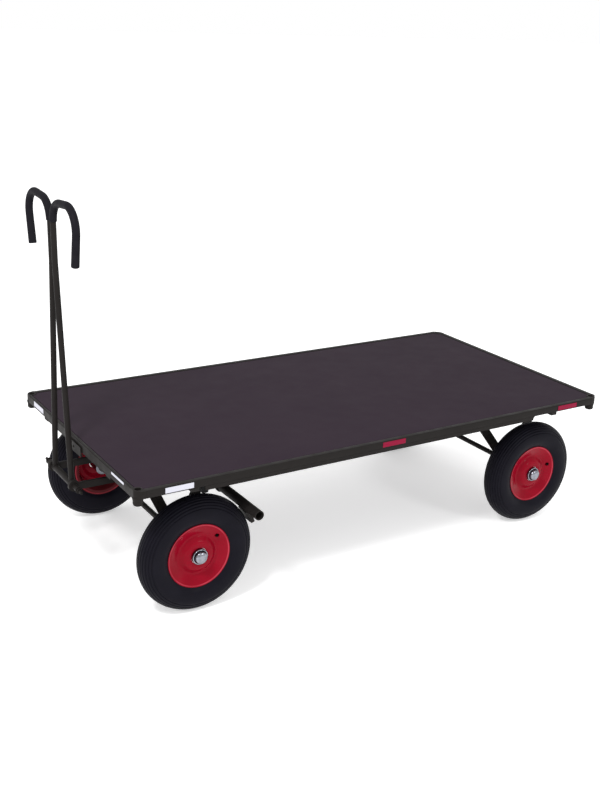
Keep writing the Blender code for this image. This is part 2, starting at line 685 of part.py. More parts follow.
def make_wheel(end, side, along, across, parent):
    name = f"{end}_{side}"
    centre = (along * AXLE_X, across * TRACK_HALF, TYRE_RADIUS)
    wheel = pivot(f"wheel_{name}_pivot", centre, parent)
    outward = "+Y" if across > 0 else "-Y"

    tread = mirrored(TYRE_SECTION) + TYRE_CAVITY
    turned(f"tyre_{name}", tread, centre, outward, LARGE_ROUND, RUBBER, wheel)
    bore = HUB_RADIUS + 2 * FIT
    disc = RIM_BACK + [(bore, RIM_DISC[0]), (bore, RIM_DISC[1])] + RIM_FACE
    turned(f"rim_{name}", mirrored(RIM_WELL) + disc, centre, outward, LARGE_ROUND, RIM_PAINT, wheel)

    low, high = HUB_HEIGHTS
    axle_bore = AXLE_RADIUS + 2 * FIT
    hub = [(HUB_RADIUS, high), (HUB_RADIUS, low), (axle_bore, low), (axle_bore, high)]
    turned(f"hub_{name}", hub, centre, outward, SMALL_ROUND, CHROME, wheel)

    foot = high + GAP
    inside = CAP_RADIUS - CAP_WALL
    shoulder = CAP_TOP - CAP_DOME[-1][1] - GAP
    cap = [(0, CAP_TOP)] + [(radius, CAP_TOP - depth) for radius, depth in CAP_DOME]
    cap += [(CAP_RADIUS, foot), (inside, foot), (inside, shoulder), (0, CAP_TOP - CAP_CROWN)]
    turned(f"hub_cap_{name}", cap, centre, outward, SMALL_ROUND, CHROME, wheel)


def make_cart():
    cart = pivot("cart", (0, 0, 0))
    cart.location.x = (REAR_FACE - front_reach()) / 2
    bogie = pivot("bogie_pivot", (AXLE_X, 0, 0), cart)
    drawbar = pivot("drawbar_pivot", (HINGE_X, 0, HINGE_Z), bogie)
    brake = pivot("brake_pivot", (BRAKE_SHAFT[0], 0, BRAKE_SHAFT[1]), bogie)

    make_board(cart)
    make_rails(cart)
    make_sockets(cart)
    make_sills(cart)
    make_under_frame(cart)
    make_catch(cart)
    make_rear_brackets(cart)
    make_axle("rear_axle", -AXLE_X, cart)

    make_turntable(cart, bogie)
    make_front_brackets(bogie)
    make_bogie_frame(bogie)
    make_axle("front_axle", AXLE_X, bogie)
    make_drawbar_arms(bogie)
    make_hinge_pin(bogie)
    make_drawbar(drawbar)
    make_brake(bogie, brake)

    for side, across in both_sides():
        make_wheel("front", side, 1, across, bogie)
        make_wheel("rear", side, -1, across, cart)


clear_scene()
PARTS = new_collection("platform_truck")
CUTTERS = new_collection("cutters")
CUTTERS.hide_render = True
make_cart()
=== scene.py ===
"""The looks of a hand-drawn platform truck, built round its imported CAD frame.

Metres, +X forward (the drawbar end), +Y to the left, +Z up, as in the CAD. Flat CAD pieces are
copied with rounded edges and round ones are turned or swept again from finer outlines. Each piece
made here rides on the CAD body of the node that it stands for or is fixed to.
"""

import json
import math

import bmesh
import bpy
from mathutils import Matrix, Vector


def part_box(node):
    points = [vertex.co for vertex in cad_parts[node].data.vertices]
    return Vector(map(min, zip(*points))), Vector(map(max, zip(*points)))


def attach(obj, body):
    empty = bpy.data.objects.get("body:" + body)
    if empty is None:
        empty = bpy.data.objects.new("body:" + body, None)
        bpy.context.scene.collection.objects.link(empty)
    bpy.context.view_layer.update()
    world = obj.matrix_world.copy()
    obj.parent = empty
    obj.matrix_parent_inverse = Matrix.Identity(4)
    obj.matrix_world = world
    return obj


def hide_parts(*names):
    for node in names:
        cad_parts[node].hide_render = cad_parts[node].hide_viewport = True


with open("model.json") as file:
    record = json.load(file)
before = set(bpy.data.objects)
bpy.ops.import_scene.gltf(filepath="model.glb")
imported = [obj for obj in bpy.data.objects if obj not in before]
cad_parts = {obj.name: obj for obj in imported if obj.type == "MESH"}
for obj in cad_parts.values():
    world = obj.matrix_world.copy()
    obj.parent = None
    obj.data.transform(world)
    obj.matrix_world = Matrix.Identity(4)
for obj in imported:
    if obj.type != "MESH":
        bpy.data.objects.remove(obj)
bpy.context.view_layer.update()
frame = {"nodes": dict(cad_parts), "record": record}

BODY_OF = {node: body for body, nodes in frame["record"]["behaviour"]["bodies"].items() for node in nodes}
SIDES = (("left", 1), ("right", -1))
ENDS = (("front", 1), ("rear", -1))


# ---------------------------------------------------------------- places from the frame

def low(node):
    return Vector(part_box(node)[0])


def high(node):
    return Vector(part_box(node)[1])


def middle(node):
    return (low(node) + high(node)) / 2


def half_height(node):
    return (high(node).z - low(node).z) / 2


DECK_X = (middle("corner_socket_front_left").x + middle("corner_socket_rear_left").x) / 2
HINGE = middle("drawbar_sleeve")
TOUCH = 0.0004                    # gap between pieces that meet
FINE_TOUCH = 0.0002               # the same, between small pieces


# ---------------------------------------------------------------- shaping helpers

def arc_between(before, corner, after, radius, steps):
    """Points that round a corner of an outline with an arc, or the corner itself if it is straight."""
    corner = Vector(corner)
    to_before = Vector(before) - corner
    to_after = Vector(after) - corner
    turn = math.pi - to_before.angle(to_after)
    if radius <= 0 or turn < math.radians(3):
        return [tuple(corner)]
    reach = min(radius * math.tan(turn / 2), 0.48 * to_before.length, 0.48 * to_after.length)
    radius = reach / math.tan(turn / 2)
    start = corner + to_before.normalized() * reach
    centre = corner + (to_before.normalized() + to_after.normalized()).normalized() * (
        radius / math.cos(turn / 2))
    first = start - centre
    side = 1 if to_before.x * to_after.y - to_before.y * to_after.x < 0 else -1
    points = []
    for i in range(steps + 1):
        angle = side * turn * i / steps
        points.append((centre.x + first.x * math.cos(angle) - first.y * math.sin(angle),
                       centre.y + first.x * math.sin(angle) + first.y * math.cos(angle)))
    return points


def rounded(corners, closed=True, steps=4):
    """An outline of (u, v, corner radius) points with its corners rounded, as (u, v) points."""
    count = len(corners)
    points = []
    for i, (u, v, radius) in enumerate(corners):
        if not closed and i in (0, count - 1):
            points.append((u, v))
            continue
        before = corners[i - 1][:2]
        after = corners[(i + 1) % count][:2]
        points += arc_between(before, (u, v), after, radius, steps)
    return points


def rectangle(half_width, half_height, foot_radius, top_radius, steps=4):
    """The outline of a rectangle whose lower and upper corners are rounded."""
    foot = [(-half_width, -half_height, foot_radius), (half_width, -half_height, foot_radius)]
    top = [(half_width, half_height, top_radius), (-half_width, half_height, top_radius)]
    return rounded(foot + top, steps=steps)


def ring_section(outer, inner, half_length, outer_edge, inner_edge):
    """The section of a plain ring or tube, to be turned, with its outer and inner edges rounded."""
    return rounded([(outer, half_length, outer_edge), (outer, -half_length, outer_edge),
                    (inner, -half_length, inner_edge), (inner, half_length, inner_edge)])


def place_along(centre, direction, spin=0.0):
    """A placement whose local Z points along a direction."""
    turn = Vector(direction).to_track_quat("Z", "Y").to_matrix().to_4x4()
    return Matrix.Translation(centre) @ turn @ Matrix.Rotation(spin, 4, "Z")


def add_object(name, shape, place):
    mesh = bpy.data.meshes.new(name)
    shape.to_mesh(mesh)
    shape.free()
    made = bpy.data.objects.new(name, mesh)
    bpy.context.scene.collection.objects.link(made)
    made.matrix_world = place
    return made


def smooth(mesh, sharp):
    mesh.shade_smooth()
    mesh.set_sharp_from_angle(angle=math.radians(sharp))


def add_piece(name, shape, place, finish, body, sharp=35.0):
    """Makes a piece from a bmesh, in its place, and lets it ride on a body."""
    bmesh.ops.recalc_face_normals(shape, faces=shape.faces)
    piece = add_object(name, shape, place)
    smooth(piece.data, sharp)
    piece.data.materials.append(finish.material)
    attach(piece, body)
    return piece


def turned(name, outline, place, finish, body, segments=96, closed=True, sharp=35.0):
    """An outline of (radius, height) points turned about the placement's Z axis."""
    shape = bmesh.new()
    verts = [shape.verts.new((radius, 0, height)) for radius, height in outline]
    edges = [shape.edges.new(pair) for pair in zip(verts, verts[1:])]
    if closed:
        edges.append(shape.edges.new((verts[-1], verts[0])))
    bmesh.ops.spin(shape, geom=verts + edges, axis=(0, 0, 1), cent=(0, 0, 0), angle=math.tau,
                   steps=segments, use_merge=True)
    bmesh.ops.remove_doubles(shape, verts=shape.verts, dist=1e-6)
    return add_piece(name, shape, place, finish, body, sharp)


def swept(name, path, radii, finish, body, sides, ring=False):
    """A round bar along a path, with a radius at each of its points. A ring has no ends."""
    path = [Vector(point) for point in path]
    count = len(path)
    shape = bmesh.new()
    loops = []
    normal = None
    for i, here in enumerate(path):
        before = path[i - 1] if ring or i else here
        after = path[(i + 1) % count] if ring or i < count - 1 else here
        along = (after - before).normalized()
        normal = along.orthogonal() if normal is None else normal
        normal = (normal - along * normal.dot(along)).normalized()
        across = along.cross(normal)
        loop = []
        for k in range(sides):
            angle = math.tau * k / sides
            loop.append(shape.verts.new(
                here + (normal * math.cos(angle) + across * math.sin(angle)) * radii[i]))
        loops.append(loop)
    spans = list(zip(loops, loops[1:])) + ([(loops[-1], loops[0])] if ring else [])
    for first, second in spans:
        for k in range(sides):
            shape.faces.new((first[k], first[(k + 1) % sides], second[(k + 1) % sides], second[k]))
    if not ring:
        shape.faces.new(loops[0])
        shape.faces.new(loops[-1])
    return add_piece(name, shape, Matrix.Identity(4), finish, body, 50)


def extruded(name, outline, depth, place, finish, body, edge=0.0008, hole=None):
    """A flat outline of (x, y) points raised by a depth about its middle plane, with rounded edges."""
    shape = bmesh.new()
    rims = [outline] + ([hole] if hole else [])
    for rim in rims:
        verts = [shape.verts.new((x, y, -depth / 2)) for x, y in rim]
        for i, vert in enumerate(verts):
            shape.edges.new((vert, verts[(i + 1) % len(verts)]))
    bmesh.ops.triangle_fill(shape, use_beauty=True, use_dissolve=True, edges=shape.edges)
    made = bmesh.ops.extrude_face_region(shape, geom=shape.faces)
    bmesh.ops.translate(shape, vec=(0, 0, depth),
                        verts=[item for item in made["geom"] if isinstance(item, bmesh.types.BMVert)])
    piece = add_piece(name, shape, place, finish, body, 60)
    if edge:
        round_edges(piece, edge)
    return piece


def round_edges(piece, width, segments=2, angle=40.0):
    bevel = piece.modifiers.new("rounding", "BEVEL")
    bevel.width = width
    bevel.segments = segments
    bevel.limit_method = "ANGLE"
    bevel.angle_limit = math.radians(angle)
    bevel.harden_normals = True


def refined(node, finish, width=0.0010):
    """A copy of a flat CAD piece with its edges rounded, shown in its place."""
    shape = bmesh.new()
    shape.from_mesh(frame["nodes"][node].data)
    bmesh.ops.remove_doubles(shape, verts=shape.verts, dist=1e-5)
    bmesh.ops.dissolve_limit(shape, angle_limit=math.radians(1), verts=shape.verts, edges=shape.edges)
    piece = add_piece(f"{node}_shape", shape, Matrix.Identity(4), finish, BODY_OF[node], 60)
    round_edges(piece, width)
    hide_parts(node)
    return piece


def hex_nut(name, across_flats, thickness, centre, direction, finish, body, spin=0.0):
    """A hexagonal nut or bolt head that stands on a point and faces a direction."""
    radius = across_flats / math.sqrt(3)
    turns = [math.radians(60 * i) for i in range(6)]
    outline = [(radius * math.cos(turn), radius * math.sin(turn)) for turn in turns]
    place = place_along(Vector(centre) + Vector(direction).normalized() * thickness / 2, direction, spin)
    return extruded(name, outline, thickness, place, finish, body, across_flats * 0.05)


def bead(name, path, width, finish, body, ring=False):
    """A weld bead: a thin bar along a path whose width ripples as the weld pool froze."""
    ripple = []
    for i in range(len(path)):
        ripple.append(width / 2 * (1 + 0.10 * math.sin(1.9 * i) + 0.05 * math.sin(0.7 * i + 1)))
    if not ring:
        ripple[0] *= 0.4
        ripple[-1] *= 0.4
    return swept(name, path, ripple, finish, body, 10, ring)


def ring_path(centre, axis, radius, count):
    """Points of a circle about an axis."""
    turn = Vector(axis).to_track_quat("Z", "Y")
    return [Vector(centre) + turn @ Vector((radius * math.cos(math.tau * i / count),
                                            radius * math.sin(math.tau * i / count), 0))
            for i in range(count)]


# ---------------------------------------------------------------- materials

class Finish:
    """A procedural material on a Principled shader, and the record's slot that it belongs to."""

    def __init__(self, name, slot, roughness, metallic=0.0, specular=0.5):
        self.slot = slot
        self.material = bpy.data.materials.new(name)
        self.material.use_nodes = True
        self.tree = self.material.node_tree
        self.shader = self.tree.nodes["Principled BSDF"]
        self.shader.inputs["Metallic"].default_value = metallic
        self.shader.inputs["Specular IOR Level"].default_value = specular
        self.shader.inputs["Roughness"].default_value = roughness
        self.place = self.tree.nodes.new("ShaderNodeTexCoord").outputs["Object"]

    def node(self, kind, **inputs):
        made = self.tree.nodes.new(kind)
        for key, value in inputs.items():
            self.feed(made, key.replace("_", " "), value)
        return made

    def feed(self, node, key, value):
        socket = node.inputs[key]
        if isinstance(value, bpy.types.NodeSocket):
            self.tree.links.new(value, socket)
        else:
            socket.default_value = value

    def noise(self, scale, detail=3.0, stretch=(1, 1, 1), roughness=0.5):
        place = self.place
        if stretch != (1, 1, 1):
            place = self.node("ShaderNodeMapping", Vector=place, Scale=stretch).outputs["Vector"]
        return self.node("ShaderNodeTexNoise", Vector=place, Scale=scale, Detail=detail,
                         Roughness=roughness).outputs["Fac"]

    def mapped(self, value, from_low, from_high, to_low, to_high):
        return self.node("ShaderNodeMapRange", Value=value, From_Min=from_low, From_Max=from_high,
                         To_Min=to_low, To_Max=to_high).outputs["Result"]

    def mixed(self, factor, first, second):
        made = self.tree.nodes.new("ShaderNodeMix")
        made.data_type = "RGBA"
        self.feed(made, "Factor", factor)
        for index, value in ((6, first), (7, second)):
            self.feed(made, index, value if isinstance(value, bpy.types.NodeSocket) else (*value, 1.0))
        return made.outputs[2]

    def times(self, first, second):
        made = self.tree.nodes.new("ShaderNodeMath")
        made.operation = "MULTIPLY"
        self.feed(made, 0, first)
        self.feed(made, 1, second)
        return made.outputs[0]

    def vector_value(self, operation, *vectors):
        made = self.tree.nodes.new("ShaderNodeVectorMath")
        made.operation = operation
        for index, vector in enumerate(vectors):
            self.tree.links.new(vector, made.inputs[index])
        return made.outputs["Value"]

    def worn_edges(self, width):
        """1 where an edge is worn, broken up by noise, and 0 elsewhere."""
        bevel = self.node("ShaderNodeBevel", Radius=width)
        bevel.samples = 4
        flat = self.tree.nodes.new("ShaderNodeNewGeometry").outputs["Normal"]
        likeness = self.vector_value("DOT_PRODUCT", bevel.outputs["Normal"], flat)
        edge = self.mapped(likeness, 0.99, 0.85, 0.0, 1.0)
        patches = self.mapped(self.noise(60, 4), 0.50, 0.70, 0.0, 1.0)
        return self.times(edge, patches)

    def lip_painted_highlight(self):
        """1 on a band of a rim's lip that is painted lighter as a painted highlight, broken up by noise, and
        0 elsewhere.
        """
        flat = self.node("ShaderNodeMapping", Vector=self.place, Scale=(1, 1, 0)).outputs["Vector"]
        radius = self.vector_value("LENGTH", flat)
        inside = self.mapped(radius, 0.1072, 0.1088, 0.0, 1.0)
        outside = self.mapped(radius, 0.1122, 0.1108, 0.0, 1.0)
        patches = self.mapped(self.noise(14, 4), 0.40, 0.60, 0.35, 1.0)
        return self.times(self.times(inside, outside), patches)

    def clouds(self, scale, detail, start, stop, first, second):
        """A colour that drifts from one to another where a noise goes from start to stop."""
        return self.mixed(self.mapped(self.noise(scale, detail), start, stop, 0, 1), first, second)

    def colour(self, value):
        self.feed(self.shader, "Base Color", value)

    def uneven(self, scale, detail, least, most):
        """A roughness that a noise varies."""
        self.feed(self.shader, "Roughness", self.mapped(self.noise(scale, detail), 0.3, 0.7, least, most))

    def grain(self, scale, detail, strength, distance, stretch=(1, 1, 1)):
        self.bump(self.noise(scale, detail, stretch), strength, distance)

    def bump(self, height, strength, distance):
        made = self.node("ShaderNodeBump", Height=height, Strength=strength, Distance=distance)
        self.tree.links.new(made.outputs["Normal"], self.shader.inputs["Normal"])


def powder_coat(name, slot, dark, light, specular=0.07):
    """Satin powder coat: a fine orange peel, faint cloudiness and slightly bare edges."""
    finish = Finish(name, slot, 0.45, 0.0, specular)
    cloud = finish.clouds(9, 4, 0.35, 0.65, dark, light)
    worn = tuple(channel * 2.0 + 0.004 for channel in light)
    finish.colour(finish.mixed(finish.times(finish.worn_edges(0.0008), 0.35), cloud, worn))
    finish.uneven(25, 5, 0.38, 0.54)
    finish.grain(1100, 2, 0.12, 0.0003)
    return finish


def film_faced_board():
    """Phenolic film on plywood: nearly even, with faint clouds, a fine grain and dull scuffs."""
    finish = Finish("deck_film", "deck_film", 0.5, 0.0, 0.03)
    cloud = finish.clouds(3.5, 5, 0.35, 0.65, (0.0242, 0.0152, 0.0235), (0.0266, 0.0170, 0.0256))
    scuffs = finish.mapped(finish.noise(55, 6, (0.12, 1, 1), 0.7), 0.62, 0.80, 0, 0.12)
    finish.colour(finish.mixed(scuffs, cloud, (0.042, 0.031, 0.040)))
    finish.uneven(14, 6, 0.52, 0.58)
    finish.grain(650, 3, 0.10, 0.0004)
    return finish


def tyre_rubber():
    """Moulded rubber: blue black, matt, with faint bloom and a fine grain."""
    finish = Finish("tyre_rubber", "tyre_rubber", 0.7, 0.0, 0.05)
    finish.colour(finish.clouds(16, 5, 0.35, 0.70, (0.0052, 0.0048, 0.0080), (0.0066, 0.0061, 0.0100)))
    finish.uneven(40, 4, 0.36, 0.48)
    finish.grain(1500, 2, 0.15, 0.0002)
    return finish


def gloss_rim_paint():
    """Glossy crimson enamel on pressed steel, with a slight orange peel, painted shade darkening its inner
    side and a painted highlight along its lip.
    """
    finish = Finish("rim_paint", "rim_paint", 0.22, 0.0, 0.06)
    enamel = finish.clouds(11, 4, 0.35, 0.65, (0.195, 0.0018, 0.0100), (0.225, 0.0026, 0.0125))
    height = finish.node("ShaderNodeSeparateXYZ", Vector=finish.place).outputs["Z"]
    # Painted shade: the enamel is darkened towards the rim's inner side, where the wheel is shaded.
    inner_painted_shade = finish.mixed(finish.mapped(height, 0.010, -0.002, 0, 0.7), enamel, (0.024, 0.0120, 0.0120))
    # Painted highlight: a lighter band of enamel along the rim's lip.
    finish.colour(finish.mixed(finish.lip_painted_highlight(), inner_painted_shade, (0.38, 0.036, 0.056)))
    finish.uneven(30, 4, 0.10, 0.18)
    finish.grain(130, 3, 0.05, 0.0005)
    return finish


def bright_steel():
    """Plated steel, with fine turning marks about its own axis."""
    finish = Finish("bright_steel", "bright_steel", 0.20, 1.0)
    finish.colour(finish.clouds(60, 4, 0.3, 0.7, (0.15, 0.16, 0.18), (0.30, 0.31, 0.35)))
    finish.uneven(90, 5, 0.10, 0.24)
    finish.grain(900, 2, 0.06, 0.0001, (1, 1, 6))
    return finish


def grip_rubber():
    finish = Finish("grip_rubber", "grip_rubber", 0.6, 0.0, 0.04)
    finish.colour(finish.clouds(30, 4, 0.35, 0.65, (0.0078, 0.0073, 0.0098), (0.0104, 0.0098, 0.0128)))
    finish.uneven(70, 4, 0.50, 0.66)
    finish.grain(1300, 2, 0.18, 0.0002)
    return finish


def black_plastic():
    finish = Finish("black_plastic", "grip_rubber", 0.5, 0.0, 0.05)
    finish.colour(finish.clouds(40, 3, 0.35, 0.65, (0.0035, 0.0035, 0.0038), (0.0060, 0.0060, 0.0064)))
    finish.uneven(80, 3, 0.42, 0.56)
    finish.grain(1200, 2, 0.12, 0.0002)
    return finish


def reflector_face(name, dark, light):
    """A moulded reflector: small pyramids under a clear face."""
    finish = Finish(name, "bright_steel", 0.18, 0.0, 0.10)
    cells = finish.node("ShaderNodeTexVoronoi", Vector=finish.place, Scale=420.0, Randomness=0.0)
    facets = finish.mapped(cells.outputs["Distance"], 0.1, 0.6, 0, 1)
    finish.colour(finish.mixed(facets, light, dark))
    finish.uneven(50, 3, 0.14, 0.26)
    finish.bump(facets, 0.25, 0.0006)
    return finish


FLOOR_GLOW = 0.42                 # the floor is a pale light table, so that the shadow stays faint


def studio_floor():
    finish = Finish("studio_floor", "floor", 0.9, 0.0, 0.1)
    finish.colour(finish.clouds(0.7, 3, 0.3, 0.7, (0.93, 0.93, 0.93), (0.95, 0.95, 0.95)))
    finish.shader.inputs["Emission Color"].default_value = (1.0, 1.0, 1.0, 1.0)
    finish.shader.inputs["Emission Strength"].default_value = FLOOR_GLOW
    return finish.material


PAINT = powder_coat("frame_paint", "frame_paint", (0.0118, 0.0102, 0.0096), (0.0136, 0.0119, 0.0112))
# A lighter copy of the frame paint for the parts under the deck and in the bogie: painted light that lifts
# their shade.
SHADE_LIFTED_PAINT = powder_coat("frame_paint_lifted_in_shade", "frame_paint", (0.0145, 0.0129, 0.0122), (0.0170, 0.0152, 0.0144))
BOARD = film_faced_board()
RUBBER = tyre_rubber()
RIM = gloss_rim_paint()
BRIGHT = bright_steel()
GRIP = grip_rubber()
PLASTIC = black_plastic()
WHITE_REFLECTOR = reflector_face("white_reflector", (0.48, 0.48, 0.54), (0.62, 0.62, 0.69))
RED_REFLECTOR = reflector_face("red_reflector", (0.185, 0.001, 0.022), (0.265, 0.003, 0.036))


# ---------------------------------------------------------------- deck and frame

RAIL_CORNER = 0.0030
RAIL_FOOT = 0.0006                # the rails' lower corners stay square, flush with the sills
RAIL_WALL = 0.0025
SOCKET_WALL = 0.0058
SOCKET_FLOOR = 0.0040
SOCKET_FLARE = ((0.0026, 0.0000), (0.0014, 0.0060), (0.0, 0.0120))    # added radius, depth below the rails
CORNER_STEPS = 8
# How a corner's filling falls away from a rail's face: distance towards the deck's middle, and drop
WIDE_CORNER = ((0.0105, 0.0004), (0.0030, 0.0020), (-0.0050, 0.0060))
NARROW_CORNER = ((0.0080, -0.0002),)


def make_deck():
    refined("deck_board", BOARD, 0.0008)


def make_rail(node, lengthwise):
    """A rectangular tube along X or Y with rounded long edges, over the rail's own box."""
    size = high(node) - low(node)
    width, length = (size.y, size.x) if lengthwise else (size.x, size.y)
    half_w, half_h = width / 2, size.z / 2
    outer = rectangle(half_w, half_h, RAIL_FOOT, RAIL_CORNER, steps=5)
    inner = rectangle(half_w - RAIL_WALL, half_h - RAIL_WALL, 0.001, 0.001, steps=2)
    rows = ((0, 0, 1, 0), (1, 0, 0, 0)) if lengthwise else ((-1, 0, 0, 0), (0, 0, 1, 0))
    place = Matrix.Translation(middle(node)) @ Matrix((*rows, (0, 1, 0, 0), (0, 0, 0, 1)))
    rail = extruded(f"{node}_tube", outer, length, place, PAINT, BODY_OF[node], 0, inner)
    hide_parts(node)


def make_socket(node):
    """A tube for a post, open at the top, with a weld's flare under the rails and a dished foot."""
    small, large = low(node), high(node)
    radius = (large.x - small.x) / 2
    foot, top = small.z, large.z
    rails = low("rail_left").z
    bore = radius - SOCKET_WALL
    outline = [(0.0, foot + SOCKET_FLOOR, 0), (bore, foot + SOCKET_FLOOR, 0.0015), (bore, top, 0.0008),
               (radius, top, 0.0012), (radius, rails + 0.0010, 0.0010)]
    outline += [(radius + more, rails - depth, 0.0060) for more, depth in SOCKET_FLARE]
    outline += [(radius, foot + 0.0060, 0.0060), (radius - 0.0020, foot + 0.0020, 0.0030),
                (radius - 0.0060, foot, 0.0030), (0.0, foot, 0)]
    centre = Vector((middle(node).x, middle(node).y, 0))
    cup = turned(f"{node}_cup", rounded(outline, closed=False), Matrix.Translation(centre), PAINT,
                 BODY_OF[node], closed=False)
    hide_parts(node)
    return centre, radius


def corner_outline(radius, inner, outer):
    """The plan of the filling between a rail's end and a corner tube.

    It is in (towards the deck's middle, outward) distances from the tube's own middle.
    """
    reach = radius + FINE_TOUCH
    stands_out = outer > 1.2 * radius
    fall = WIDE_CORNER if stands_out else NARROW_CORNER
    last = 135 if stands_out else 90
    curve = [(reach, outer)] + [(inward, outer - drop) for inward, drop in fall]
    first = math.degrees(math.asin(inner / radius))
    for i in range(CORNER_STEPS + 1):
        angle = math.radians(last + (first - last) * i / CORNER_STEPS)
        curve.append((radius * math.cos(angle), radius * math.sin(angle)))
    return curve + [(reach, inner)]


def make_corner(end, along, side, across, centre, radius):
    """The two welded fillings that run the rails' outer faces into a corner tube."""
    rail = f"rail_{side}"
    outer_y = max(abs(low(rail).y), abs(high(rail).y)) - abs(centre.y)
    inner_y = min(abs(low(rail).y), abs(high(rail).y)) - abs(centre.y)
    node = f"rail_{end}"
    reach = sorted(abs(value - DECK_X) for value in (low(node).x, high(node).x))
    inner_x, outer_x = (value - abs(centre.x - DECK_X) for value in reach)
    sizes = {"side": (rail, inner_y, outer_y), "end": (node, inner_x, outer_x)}
    for label, (bar, inner, outer) in sizes.items():
        depth = high(bar).z - low(bar).z
        plan = []
        for inward, outward in corner_outline(radius, inner, outer):
            if label == "side":
                plan.append((centre.x - along * inward, centre.y + across * outward))
            else:
                plan.append((centre.x + along * outward, centre.y - across * inward))
        place = Matrix.Translation((0, 0, low(bar).z + depth / 2))
        extruded(f"corner_fill_{end}_{side}_{label}", plan, depth, place, PAINT, "chassis", 0.0008)


def make_frame():
    for node in ("rail_left", "rail_right"):
        make_rail(node, True)
    for node in ("rail_front", "rail_rear"):
        make_rail(node, False)
    for end, along in ENDS:
        for side, across in SIDES:
            node = f"corner_socket_{end}_{side}"
            centre, radius = make_socket(node)
            make_corner(end, along, side, across, centre, radius)
    for node in ("side_sill_left", "side_sill_right"):
        refined(node, PAINT, 0.0005)
    refined("front_sill", PAINT, 0.0004)
    for node in ("cross_member_front", "cross_member_turntable", "cross_member_rear",
                 "longitudinal_left", "longitudinal_right"):
        refined(node, SHADE_LIFTED_PAINT)
    refined("drawbar_catch", PAINT, 0.0006)
    for node in ("rear_bracket_left", "rear_bracket_right"):
        refined(node, SHADE_LIFTED_PAINT, 0.0008)


SILL_PLUG = (0.024, 0.0240)       # length and height
SILL_PLUG_INSET = 0.0015          # on each side of the sill


def make_sill_plugs():
    """A black end plug on the front end of each side sill."""
    length, height = SILL_PLUG
    for side, _ in SIDES:
        small, large = low(f"side_sill_{side}"), high(f"side_sill_{side}")
        width = large.y - small.y - 2 * SILL_PLUG_INSET
        outline = rounded([(-length / 2, -height / 2, 0.004), (length / 2, -height / 2, 0.006),
                           (length / 2, height / 2, 0.0015), (-length / 2, height / 2, 0.0015)])
        centre = (large.x, (small.y + large.y) / 2, large.z - height / 2)
        place = Matrix.Translation(centre) @ Matrix.Rotation(math.pi / 2, 4, "X")
        extruded(f"sill_plug_{side}", outline, width, place, PLASTIC, "chassis", 0.0015)


REFLECTOR_LENGTH = 0.0985
REFLECTOR_HEIGHT = 0.0185
REFLECTOR_THICKNESS = 0.0011
# Forward of the deck's middle
SIDE_REFLECTORS = (("front", 0.845, WHITE_REFLECTOR), ("middle", 0.013, RED_REFLECTOR),
                   ("rear", -0.8245, RED_REFLECTOR))
FRONT_REFLECTORS = ((0.367, 0.0080, 0.0052), (-0.3615, 0.0185, 0.0))    # y, height, rise
REFLECTOR_RISE = 0.0003           # above the rail's middle
REFLECTOR_CORNER = 0.0012


def make_reflector(name, centre, facing, height, finish):
    """A thin moulded strip on a rail's outer face."""
    out = Vector(facing)
    along = Vector((0, 0, 1)).cross(out)
    place = Matrix.Translation(centre) @ Matrix((
        (along.x, 0, out.x, 0), (along.y, 0, out.y, 0), (along.z, 1, out.z, 0), (0, 0, 0, 1)))
    outline = rectangle(REFLECTOR_LENGTH / 2, height / 2, REFLECTOR_CORNER, REFLECTOR_CORNER)
    extruded(name, outline, REFLECTOR_THICKNESS, place, finish, "chassis", 0.0003)


def make_reflectors():
    z = middle("rail_left").z + REFLECTOR_RISE
    step = REFLECTOR_THICKNESS / 2 + FINE_TOUCH
    for side, across in SIDES:
        face = high("rail_left").y if across > 0 else low("rail_right").y
        for label, x, finish in SIDE_REFLECTORS:
            make_reflector(f"reflector_{side}_{label}", (DECK_X + x, face + across * step, z),
                           (0, across, 0), REFLECTOR_HEIGHT, finish)
    face = high("rail_front").x
    for number, (y, height, rise) in enumerate(FRONT_REFLECTORS):
        make_reflector(f"reflector_front_{number}", (face + step, y, z + rise), (1, 0, 0), height,
                       WHITE_REFLECTOR)


# ---------------------------------------------------------------- axles, turntable and bogie

AXLE_RADIUS = 0.010
AXLE_COLLAR = (0.016, 0.0060)      # radius and length
AXLE_NUT = (0.0255, 0.0052)        # across flats, thickness
RING_BORE = 0.150
RING_WALL = 0.008                  # of both rings' skirts, and of the lower ring's floor
RING_LID = 0.006
RING_BOLTS = 8
RING_BOLT_CIRCLE = 0.166
RING_NUT = (0.013, 0.006)          # across flats, thickness
BRAKE_SHAFT_RADIUS = 0.008
BRAKE_SHAFT_NUT = (0.020, 0.0045)  # across flats, thickness


def make_axle(node):
    """A round axle with a collar inside each wheel and a nut outside it."""
    centre = middle(node)
    reach = high(node).y
    body = BODY_OF[node]
    end = node.removesuffix("_axle")
    hub_in = low(f"hub_{end}_left").y - TOUCH
    hub_out = high(f"hub_{end}_left").y + TOUCH
    collar, length = AXLE_COLLAR
    foot = hub_in - length
    half = [(0.0, reach, 0), (AXLE_RADIUS, reach, 0.0015), (AXLE_RADIUS, hub_in, 0),
            (collar, hub_in, 0.0008), (collar, foot, 0.0008), (AXLE_RADIUS, foot, 0)]
    outline = rounded(half + [(r, -y, fillet) for r, y, fillet in reversed(half)], closed=False, steps=3)
    shaft = turned(f"{node}_shaft", outline, place_along(centre, (0, 1, 0)), SHADE_LIFTED_PAINT, body, 48,
                   closed=False)
    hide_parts(node)
    for side, across in SIDES:
        spot = (centre.x, across * hub_out, centre.z)
        hex_nut(f"{node}_nut_{side}", *AXLE_NUT, spot, (0, across, 0), BRIGHT, body)


